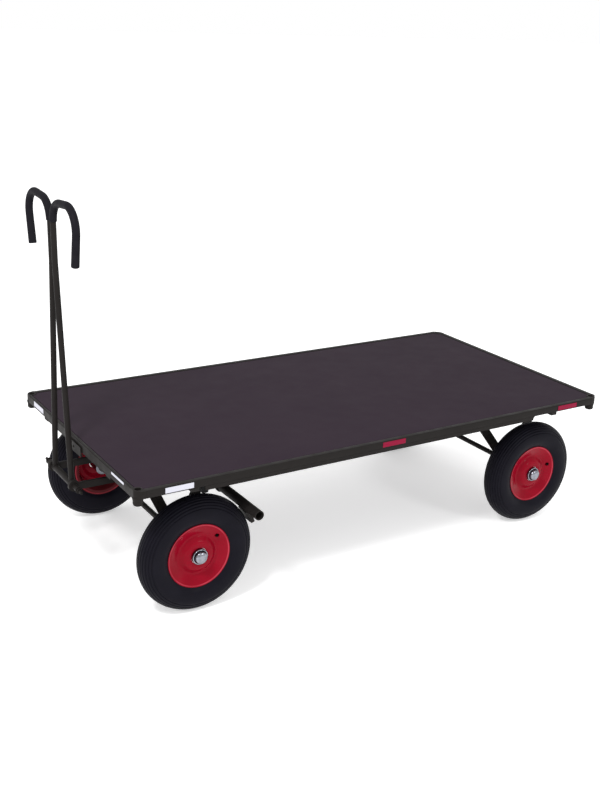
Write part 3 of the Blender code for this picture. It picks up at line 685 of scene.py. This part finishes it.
def make_turntable():
    """The upper ring's skirt hangs round the lower ring, which is bolted to the bogie."""
    upper, lower = "turntable_upper_ring", "turntable_lower_ring"
    centre = Vector((middle(upper).x, 0, 0))
    outer = (high(upper).x - low(upper).x) / 2
    top, foot = high(upper).z, low(upper).z
    skirt = outer - RING_WALL
    lid = top - RING_LID
    outline = rounded([(outer, top, 0.0015), (outer, foot, 0.0015), (skirt, foot, 0.001),
                       (skirt, lid, 0.001), (RING_BORE, lid, 0.001), (RING_BORE, top, 0.001)])
    ring = turned(f"{upper}_shape", outline, Matrix.Translation(centre), SHADE_LIFTED_PAINT, "chassis", 128)
    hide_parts(upper)
    outer = (high(lower).x - low(lower).x) / 2
    top, foot = high(lower).z, low(lower).z
    skirt = outer - RING_WALL
    floor = foot + RING_WALL
    outline = rounded([(outer, top, 0.001), (outer, foot, 0.0015), (RING_BORE, foot, 0.001),
                       (RING_BORE, floor, 0.001), (skirt, floor, 0.001), (skirt, top, 0.001)])
    ring = turned(f"{lower}_shape", outline, Matrix.Translation(centre), SHADE_LIFTED_PAINT, "bogie", 128)
    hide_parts(lower)
    for i in range(RING_BOLTS):
        angle = math.radians((i + 0.5) * 360 / RING_BOLTS)
        across, along = RING_BOLT_CIRCLE * math.cos(angle), RING_BOLT_CIRCLE * math.sin(angle)
        spot = centre + Vector((across, along, floor))
        hex_nut(f"turntable_bolt_{i}", *RING_NUT, spot, (0, 0, 1), BRIGHT, "bogie", 0.4 * i)


def make_bogie():
    for node in ("bogie_cross_front", "bogie_cross_rear", "front_bracket_left", "front_bracket_right",
                 "drawbar_arm_left", "drawbar_arm_right"):
        refined(node, SHADE_LIFTED_PAINT, 0.0008)
    node = "brake_shaft"
    centre = middle(node)
    reach = high(node).y
    radius = BRAKE_SHAFT_RADIUS
    outline = rounded([(0.0, reach, 0), (radius, reach, 0.001), (radius, -reach, 0.001), (0.0, -reach, 0)],
                      closed=False)
    shaft = turned("brake_shaft_bar", outline, place_along(centre, (0, 1, 0)), SHADE_LIFTED_PAINT, "bogie", 32,
                   closed=False)
    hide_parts(node)
    nut_foot = reach - BRAKE_SHAFT_NUT[1] - FINE_TOUCH
    for side, across in SIDES:
        spot = (centre.x, across * nut_foot, centre.z)
        hex_nut(f"brake_shaft_nut_{side}", *BRAKE_SHAFT_NUT, spot, (0, across, 0), PAINT, "bogie")


# ---------------------------------------------------------------- drawbar

PIN = 0.008                      # radius
PIN_END = 0.0050                 # radius
PIN_SHOULDER_Y = 0.1420          # where the pin narrows, from the middle plane
SPACER = 0.0094                  # radius
SPACER_Y = (0.1025, 0.1400)      # from the middle plane
WASHER = (0.0118, 0.0020)        # radius, thickness
HINGE_NUT = (0.0170, 0.0080)     # across flats, thickness
LEAN = (middle("grip_left").x - HINGE.x) / (middle("grip_left").z - HINGE.z)
TUBE = 0.010                     # radius
TUBE_FOOT_Y = 0.0775
TUBE_FOOT_SINK = 0.0005          # into the sleeve
TUBE_TOP_Y = 0.0132
TUBES_MEET_Z = 1.130
BEND_HEIGHT = 0.012              # of the slight bend where the tubes meet
BEND_SPREAD = 0.0003
HOOK_START_Z = 1.258
HOOK_INNER_BEND = (0.067, 86.0)  # bend radius and turn in degrees
HOOK_CROWN = 0.060
HOOK_OUTER_BEND = (0.0705, 104.0)
HOOK_TAIL = 0.099
GRIP_OVERHANG = 0.004            # past the tube's end
GRIP_DROP = 0.0003               # of the grip's middle line below the tube's
GRIP_RADIUS = 0.0128
GRIP_SWELL = 0.0005
GRIP_END = 0.0016                # length of the rounded ends
FOOT_WELD = 0.0042               # widths of the weld beads
SEAM_WELD = 0.0090


def make_hinge():
    """The hinge pin with a spacer, a washer and a nut at each end, and the sleeve that turns on it."""
    node = "hinge_pin"
    reach = high(node).y
    shoulder = PIN_SHOULDER_Y
    outline = rounded([(0.0, reach, 0), (PIN_END, reach, 0.0012), (PIN_END, shoulder, 0.0005),
                       (PIN, shoulder, 0), (PIN, -shoulder, 0), (PIN_END, -shoulder, 0.0005),
                       (PIN_END, -reach, 0.0012), (0.0, -reach, 0)], closed=False, steps=3)
    pin = turned("hinge_pin_bar", outline, place_along(HINGE, (0, 1, 0)), PAINT, "bogie", 40, closed=False)
    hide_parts(node)
    for side, across in SIDES:
        make_pin_end(side, across)
    node = "drawbar_sleeve"
    radius = half_height(node)
    section = ring_section(radius, PIN + TOUCH, high(node).y, 0.0012, 0.0004)
    sleeve = turned("drawbar_sleeve_tube", section, place_along(HINGE, (0, 1, 0)), PAINT, "drawbar", 64)
    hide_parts(node)


def make_pin_end(side, across):
    """The spacer, the washer and the nut on one end of the hinge pin."""
    inner, outer = SPACER_Y
    radius, thickness = WASHER
    spacer = ring_section(SPACER, PIN + FINE_TOUCH, (outer - inner) / 2, 0.0008, 0)
    washer = ring_section(radius, PIN, thickness / 2, 0.0004, 0)
    for label, section, y in (("spacer", spacer, (inner + outer) / 2),
                              ("washer", washer, outer + FINE_TOUCH + thickness / 2)):
        place = place_along((HINGE.x, across * y, HINGE.z), (0, 1, 0))
        turned(f"hinge_{label}_{side}", section, place, PAINT, "bogie", 48)
    nut_y = across * (outer + thickness + 2 * FINE_TOUCH)
    hex_nut(f"hinge_nut_{side}", *HINGE_NUT, (HINGE.x, nut_y, HINGE.z), (0, across, 0), PAINT, "bogie", 0.2)


def lean(y, z):
    """A point of the drawbar, which leans a little forward from its hinge."""
    return Vector((HINGE.x + LEAN * (z - HINGE.z), y, z))


def hook_path(tail):
    """The bent part of a drawbar tube, as (distance from the middle plane, height) points."""
    y, z, heading = TUBE_TOP_Y, HOOK_START_Z, 0.0
    path = [(y, z)]
    for (radius, turn), steps, straight in ((HOOK_INNER_BEND, 16, HOOK_CROWN), (HOOK_OUTER_BEND, 20, tail)):
        step = math.radians(turn) / steps
        chord = 2 * radius * math.sin(step / 2)
        for _ in range(steps):
            y += chord * math.sin(heading + step / 2)
            z += chord * math.cos(heading + step / 2)
            heading += step
            path.append((y, z))
        y += straight * math.sin(heading)
        z += straight * math.cos(heading)
        path.append((y, z))
    return path


def grip_radii(path):
    """The grip's radius along its path: rounded ends, and a slight swell at its tip."""
    travelled = [0.0]
    for first, second in zip(path, path[1:]):
        travelled.append(travelled[-1] + (second - first).length)
    total = travelled[-1]
    radii = []
    for distance in travelled:
        left = total - distance
        swell = GRIP_SWELL * math.exp(-((left - 0.004) / 0.006) ** 2)
        ends = min(1.0, 0.86 + 0.14 * min(distance, left) / GRIP_END)
        radii.append((GRIP_RADIUS + swell) * ends)
    return radii


def with_ends(path, steps=(0.0, 0.0005, 0.0016, 0.004)):
    """The path with extra points near both ends, so that the ends can be rounded."""
    start = (path[1] - path[0]).normalized()
    end = (path[-1] - path[-2]).normalized()
    return ([path[0] + start * step for step in steps] + path[1:-1]
            + [path[-1] - end * step for step in reversed(steps)])


def make_tube(side, across, foot_z):
    """One of the drawbar's two tubes, from the sleeve up into the end of its hook, and its grip."""
    path = [lean(across * TUBE_FOOT_Y, foot_z), lean(across * TUBE_TOP_Y, TUBES_MEET_Z)]
    for i in range(1, 6):
        share = i / 6
        spread = BEND_SPREAD * (1 - share) ** 2
        path.append(lean(across * (TUBE_TOP_Y + spread), TUBES_MEET_Z + BEND_HEIGHT * share))
    path += [lean(across * y, z) for y, z in hook_path(HOOK_TAIL - GRIP_OVERHANG)]
    tube = swept(f"drawbar_bar_{side}", path, [TUBE] * len(path), PAINT, "drawbar", 40)
    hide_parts(f"drawbar_tube_{side}")
    path = with_ends([lean(across * y, z - GRIP_DROP) for y, z in hook_path(HOOK_TAIL)])
    grip = swept(f"hand_grip_{side}", path, grip_radii(path), GRIP, "drawbar", 40)
    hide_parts(f"grip_{side}")


def make_foot_weld(side, across, foot_z):
    """A bead that follows the saddle where a tube stands on the round sleeve."""
    foot = lean(across * (TUBE_FOOT_Y - TOUCH), foot_z)
    sleeve = half_height("drawbar_sleeve")
    radius = TUBE * 1.02
    saddle = []
    for i in range(36):
        angle = math.tau * i / 36
        forward = radius * math.cos(angle)
        rise = math.sqrt(sleeve ** 2 - forward ** 2) + 0.0006
        saddle.append(Vector((HINGE.x + forward, foot.y + radius * math.sin(angle), HINGE.z + rise)))
    bead(f"drawbar_foot_weld_{side}", saddle, FOOT_WELD, PAINT, "drawbar", True)


def make_drawbar():
    foot_z = high("drawbar_sleeve").z - TUBE_FOOT_SINK
    for side, across in SIDES:
        make_tube(side, across, foot_z)
        make_foot_weld(side, across, foot_z)
    path = [lean(0, TUBES_MEET_Z + 0.001 + 0.002 * i) for i in range(18)]
    bead("drawbar_seam_weld", path, SEAM_WELD, PAINT, "drawbar")


# ---------------------------------------------------------------- parking brake

BRAKE_BAR = middle("brake_bar")
BRAKE_BAR_WALL = 0.003
BRAKE_WELD = 0.0034                # width of the bead round the bar
BRAKE_WELD_STEP = 0.0048           # outward from the arm's middle plane


def make_brake():
    node = "brake_bar"
    radius = half_height(node)
    reach = high(node).y
    outline = ring_section(radius, radius - BRAKE_BAR_WALL, reach, 0.0010, 0.0006)
    bar = turned("brake_bar_tube", outline, place_along(BRAKE_BAR, (0, 1, 0)), SHADE_LIFTED_PAINT, "brake", 64)
    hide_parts(node)
    for side, across in SIDES:
        refined(f"brake_arm_{side}", SHADE_LIFTED_PAINT, 0.0008)
        refined(f"brake_shoe_{side}", SHADE_LIFTED_PAINT, 0.0006)
        weld_y = abs(middle(f"brake_arm_{side}").y) + BRAKE_WELD_STEP
        centre = BRAKE_BAR + Vector((0, across * weld_y, 0))
        path = ring_path(centre, (0, 1, 0), radius + 0.0006, 40)
        bead(f"brake_arm_weld_{side}", path, BRAKE_WELD, SHADE_LIFTED_PAINT, "brake", True)
        make_shoe_neck(side)


# The neck's outline: (radius, degrees) points round the wheel's axle
SHOE_NECK = ((0.2150, 143.5), (0.2130, 147.5), (0.2240, 154.0), (0.2330, 149.0), (0.2385, 144.5),
             (0.2300, 141.5))
SHOE_NECK_WIDTH = 0.040


def make_shoe_neck(side):
    """The short neck that carries a brake shoe from the bar."""
    wheel = middle(f"tyre_front_{side}")
    outline = []
    for radius, degrees in SHOE_NECK:
        turn = math.radians(degrees)
        outline.append((wheel.x + radius * math.cos(turn), wheel.z + radius * math.sin(turn)))
    place = Matrix.Translation((0, middle(f"brake_shoe_{side}").y, 0)) @ Matrix.Rotation(math.pi / 2, 4, "X")
    extruded(f"shoe_neck_{side}", outline, SHOE_NECK_WIDTH, place, SHADE_LIFTED_PAINT, "brake", 0.0015)


# ---------------------------------------------------------------- wheels

TYRE_SIDE = ((0.1150, 0.0336), (0.1215, 0.0385), (0.1300, 0.0432), (0.1410, 0.0459), (0.1530, 0.0464),
             (0.1650, 0.0452), (0.1760, 0.0420), (0.1860, 0.0372), (0.1940, 0.0305), (0.2000, 0.0225),
             (0.2040, 0.0130), (0.2060, 0.0))     # radius and height from the bead to the tread's middle
TYRE_INSIDE = ((0.1018, 0.0302), (0.1018, 0.0150), (0.1530, 0.0350), (0.1920, 0.0))
RIB_PITCH = 0.0103
RIBS_EACH_SIDE = 6
GROOVE_WIDTH = 0.0044
GROOVE_DEPTH = 0.0019


def spline_through(points, steps):
    """A Catmull-Rom curve through (radius, height) points. The last one is on the mirror plane."""
    start = [2 * a - b for a, b in zip(points[0], points[1])]
    radius, height = points[-2]
    full = [start, *points, (radius, -height)]
    curve = []
    for i in range(1, len(full) - 2):
        p0, p1, p2, p3 = (Vector(p) for p in full[i - 1:i + 3])
        for k in range(steps):
            t = k / steps
            curve.append(0.5 * (2 * p1 + (p2 - p0) * t + (2 * p0 - 5 * p1 + 4 * p2 - p3) * t ** 2
                                + (3 * p1 - p0 - 3 * p2 + p3) * t ** 3))
    curve.append(Vector(full[-2]))
    return curve


def outline_stops(total):
    """Distances from the tread's middle, round the section, at which the tyre's outline has a point."""
    ribbed = RIBS_EACH_SIDE * RIB_PITCH
    stops = {ribbed + (total - ribbed) * i / 16 for i in range(17)}
    for rib in range(RIBS_EACH_SIDE):
        groove = (rib + 0.5) * RIB_PITCH
        stops |= {groove + GROOVE_WIDTH * share for share in (-0.5, -0.32, -0.18, 0, 0.18, 0.32, 0.5)}
        stops.add(rib * RIB_PITCH)
    return sorted(stops, reverse=True)


def groove_depth(stop):
    """How far the outline lies under the tread's surface at a distance from its middle."""
    if stop >= RIBS_EACH_SIDE * RIB_PITCH:
        return 0.0
    nearest = (round(stop / RIB_PITCH - 0.5) + 0.5) * RIB_PITCH
    offset = abs(stop - nearest) / (GROOVE_WIDTH / 2)
    return GROOVE_DEPTH * max(0.0, min(1.0, 1.6 * (1 - offset)))


def tyre_outline():
    """Half the tyre's outer section with its circumferential grooves, and the mirror image of it."""
    curve = spline_through(TYRE_SIDE, 24)
    distance = [0.0]
    for first, second in zip(reversed(curve[1:]), reversed(curve[:-1])):
        distance.append(distance[-1] + (second - first).length)
    distance.reverse()
    half = []
    for stop in outline_stops(distance[0]):
        index = next(i for i in range(len(distance) - 1, -1, -1) if distance[i] >= stop - 1e-9)
        index = min(index, len(curve) - 2)
        share = (distance[index] - stop) / (distance[index] - distance[index + 1])
        along = (curve[index + 1] - curve[index]).normalized()
        point = curve[index].lerp(curve[index + 1], share)
        point += Vector((along.y, -along.x)) * groove_depth(stop)
        half.append((point.x, point.y))
    return half + [(r, -h) for r, h in reversed(half) if h > 1e-5]


def tyre_loop():
    inside = [(r, -h) for r, h in TYRE_INSIDE] + [(r, h) for r, h in reversed(TYRE_INSIDE) if h > 0]
    return tyre_outline() + inside


# The rim's section, in (radius, distance outward, fillet) points
RIM_OUTER = [(0.1138, 0.0362, 0.0022), (0.1142, 0.0338, 0.0004), (0.1015, 0.0305, 0.0030),
             (0.0890, 0.0080, 0.0060)]
RIM_LOOP = (RIM_OUTER + [(r, -h, fillet) for r, h, fillet in reversed(RIM_OUTER)]
            + [(0.0975, -0.0330, 0.0040), (0.0850, -0.0070, 0.0060), (0.0850, 0.0190, 0.0030),
               (0.0760, 0.0150, 0.0080), (0.0650, 0.0150, 0.0080), (0.0500, 0.0280, 0.0100)])
RIM_BORE = [(0.0289, 0.0310, 0.0), (0.0289, 0.0350, 0.0008)]
RIM_FACE = [(0.0400, 0.0350, 0.0060), (0.0520, 0.0325, 0.0200), (0.0670, 0.0190, 0.0200),
            (0.0740, 0.0190, 0.0300), (0.0980, 0.0300, 0.0080), (0.1080, 0.0338, 0.0030)]
VALVES = {"front": 141.0, "rear": 166.0}          # degrees round the wheel, from straight ahead over the top
VALVE_RADIUS = 0.0893
VALVE_HEIGHT = 0.0260
VALVE_SLOPE = (-0.011, 0.024)      # which way the wall under the valve faces: along the radius, and outward
VALVE_HOLE = (0.0079, 0.022)       # radius and depth
VALVE_SINK = 0.0100                # of the boot's foot behind the wall
VALVE_BOOT = [(0.0, 0.0105, 0), (0.0032, 0.0105, 0.0010), (0.0036, 0.0030, 0.0030),
              (0.0062, 0.0, 0.0010), (0.0062, -0.0030, 0.0010), (0.0, -0.0030, 0)]
VALVE_CAP = [(0.0, 0.0060, 0), (0.0030, 0.0060, 0.0010), (0.0032, 0.0, 0.0004), (0.0, 0.0, 0)]
VALVE_CAP_HEIGHT = 0.0107
HUB_WALL = 0.0054
HUB_BORE = 0.0112
HUB_RECESS = 0.0060                # depth of the seal's seat
SEAL = (0.0155, 0.0036)            # bore, height above the seat
CAP_WALL = 0.003


def make_rim(end, side, across, centre, body):
    loop = rounded(RIM_LOOP + RIM_BORE + RIM_FACE, steps=6)
    rim = turned(f"rim_{end}_{side}_disc", loop, place_along(centre, (0, across, 0)), RIM, body, 128)
    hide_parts(f"rim_{end}_{side}")
    return rim


def on_wheel(centre, across, degrees, radius, height):
    turn = math.radians(degrees)
    return centre + Vector((radius * math.cos(turn), across * height, radius * math.sin(turn)))


def drill(piece, place, radius, depth):
    """Cuts a round hole, centred on the placement and along its Z axis, into a piece's mesh."""
    shape = bmesh.new()
    bmesh.ops.create_cone(shape, cap_ends=True, segments=40, radius1=radius, radius2=radius, depth=depth)
    bit = add_object("drill_bit", shape, place)
    cut = piece.modifiers.new("drilled_hole", "BOOLEAN")
    cut.operation = "DIFFERENCE"
    cut.object = bit
    bpy.context.view_layer.update()
    graph = bpy.context.evaluated_depsgraph_get()
    drilled = bpy.data.meshes.new_from_object(piece.evaluated_get(graph))
    piece.modifiers.clear()
    piece.data = drilled
    smooth(drilled, 35)
    bpy.data.objects.remove(bit)


def make_valve(end, side, across, centre, body, rim):
    """A hole through the rim's sloping wall, with a rubber boot and a capped stem in it."""
    degrees = VALVES[end]
    spot = on_wheel(centre, across, degrees, VALVE_RADIUS, VALVE_HEIGHT)
    inward, outward = VALVE_SLOPE
    slope = on_wheel(centre, across, degrees, VALVE_RADIUS + inward, VALVE_HEIGHT + outward)
    out = (slope - spot).normalized()
    drill(rim, place_along(spot, out), *VALVE_HOLE)
    base = spot - out * VALVE_SINK
    boot = rounded(VALVE_BOOT, closed=False)
    turned(f"valve_boot_{end}_{side}", boot, place_along(base, out), PLASTIC, body, 32, closed=False)
    cap = rounded(VALVE_CAP, closed=False)
    place = place_along(base + out * VALVE_CAP_HEIGHT, out)
    turned(f"valve_cap_{end}_{side}", cap, place, PLASTIC, body, 32, closed=False)


def make_hub(end, side, across, centre, body):
    """The hub tube with a rolled outer edge and a dark seal set into it, and its domed cap."""
    place = place_along(centre, (0, across, 0))
    node = f"hub_{end}_{side}"
    inner, outer = sorted((value - centre.y) * across for value in (low(node).y, high(node).y))
    radius = half_height(node)
    seat = radius - HUB_WALL
    recess = outer - HUB_RECESS
    outline = rounded([(radius, outer, 0.0024), (radius, inner, 0.0015), (HUB_BORE, inner, 0.0006),
                       (HUB_BORE, recess, 0.0), (seat, recess, 0.0006), (seat, outer, 0.0024)])
    hub = turned(f"{node}_tube", outline, place, BRIGHT, body, 96)
    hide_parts(node)
    bore, height = SEAL
    edge, foot, top = seat - 0.0003, recess + FINE_TOUCH, recess + height
    outline = rounded([(edge, top, 0.0008), (edge, foot, 0.0), (bore, foot, 0.0), (bore, top, 0.0008)])
    turned(f"hub_seal_{end}_{side}", outline, place, PLASTIC, body, 64)
    node = f"hub_cap_{end}_{side}"
    foot, top = sorted((value - centre.y) * across for value in (low(node).y, high(node).y))
    reach = half_height(node)
    inside = reach - CAP_WALL
    dome = [(0.0, top, 0), (0.0110, top - 0.0006, 0.0200), (reach - 0.0016, top - 0.0050, 0.0050),
            (reach, top - 0.0080, 0.0020), (reach, foot, 0.0006), (inside, foot, 0.0004),
            (inside, top - 0.009, 0.002), (0.0, top - 0.005, 0)]
    cap = turned(f"{node}_dome", rounded(dome, closed=False, steps=8), place, BRIGHT, body, 96, closed=False)
    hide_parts(node)


def make_wheel(end, side, across):
    name = f"{end}_{side}"
    body = BODY_OF[f"tyre_{name}"]
    centre = middle(f"tyre_{name}")
    tyre = turned(f"tyre_{name}_tread", tyre_loop(), place_along(centre, (0, across, 0)), RUBBER, body, 128,
                  sharp=60)
    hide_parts(f"tyre_{name}")
    rim = make_rim(end, side, across, centre, body)
    make_valve(end, side, across, centre, body, rim)
    make_hub(end, side, across, centre, body)


# ---------------------------------------------------------------- studio

CAMERA_PLACE = (DECK_X + 2.22595, 3.32621, 1.92913)
CAMERA_HEADING = 147.22             # degrees from +Y, anticlockwise
CAMERA_PITCH = -19.817
CAMERA_ROLL = 2.345
CAMERA_LENS = 49.317
FLOOR_HALF = 60.0


def add_area_light(name, place, target, size, power):
    light = bpy.data.lights.new(name, "AREA")
    light.shape = "RECTANGLE"
    light.size, light.size_y = size
    light.energy = power
    lamp = bpy.data.objects.new(name, light)
    bpy.context.scene.collection.objects.link(lamp)
    lamp.location = place
    lamp.rotation_euler = (Vector(target) - Vector(place)).to_track_quat("-Z", "Y").to_euler()


def make_studio():
    scene = bpy.context.scene
    scene.view_settings.view_transform = "Standard"
    world = bpy.data.worlds.new("studio")
    world.use_nodes = True
    sky = world.node_tree.nodes["Background"]
    sky.inputs["Color"].default_value = (1.0, 1.0, 1.0, 1.0)
    sky.inputs["Strength"].default_value = 1.00
    scene.world = world
    add_area_light("key", (2.6, 1.6, 3.4), (0.2, 0.0, 0.4), (0.6, 0.6), 75)
    add_area_light("fill", (-1.5, 4.0, 2.2), (0.0, 0.0, 0.3), (0.8, 0.5), 30)

    mesh = bpy.data.meshes.new("floor")
    half = FLOOR_HALF
    corners = [(-half, -half, 0), (half, -half, 0), (half, half, 0), (-half, half, 0)]
    mesh.from_pydata(corners, [], [(0, 1, 2, 3)])
    mesh.materials.append(studio_floor())
    floor = bpy.data.objects.new("floor", mesh)
    scene.collection.objects.link(floor)

    camera = bpy.data.objects.new("camera", bpy.data.cameras.new("camera"))
    scene.collection.objects.link(camera)
    camera.data.lens = CAMERA_LENS
    camera.matrix_world = (Matrix.Translation(CAMERA_PLACE)
                           @ Matrix.Rotation(math.radians(CAMERA_HEADING), 4, "Z")
                           @ Matrix.Rotation(math.radians(90 + CAMERA_PITCH), 4, "X")
                           @ Matrix.Rotation(math.radians(CAMERA_ROLL), 4, "Z"))
    scene.camera = camera


make_studio()
make_deck()
make_frame()
make_sill_plugs()
make_reflectors()
make_axle("front_axle")
make_axle("rear_axle")
make_turntable()
make_bogie()
make_hinge()
make_drawbar()
make_brake()
for end_name, _ in ENDS:
    for side_name, sign in SIDES:
        make_wheel(end_name, side_name, sign)
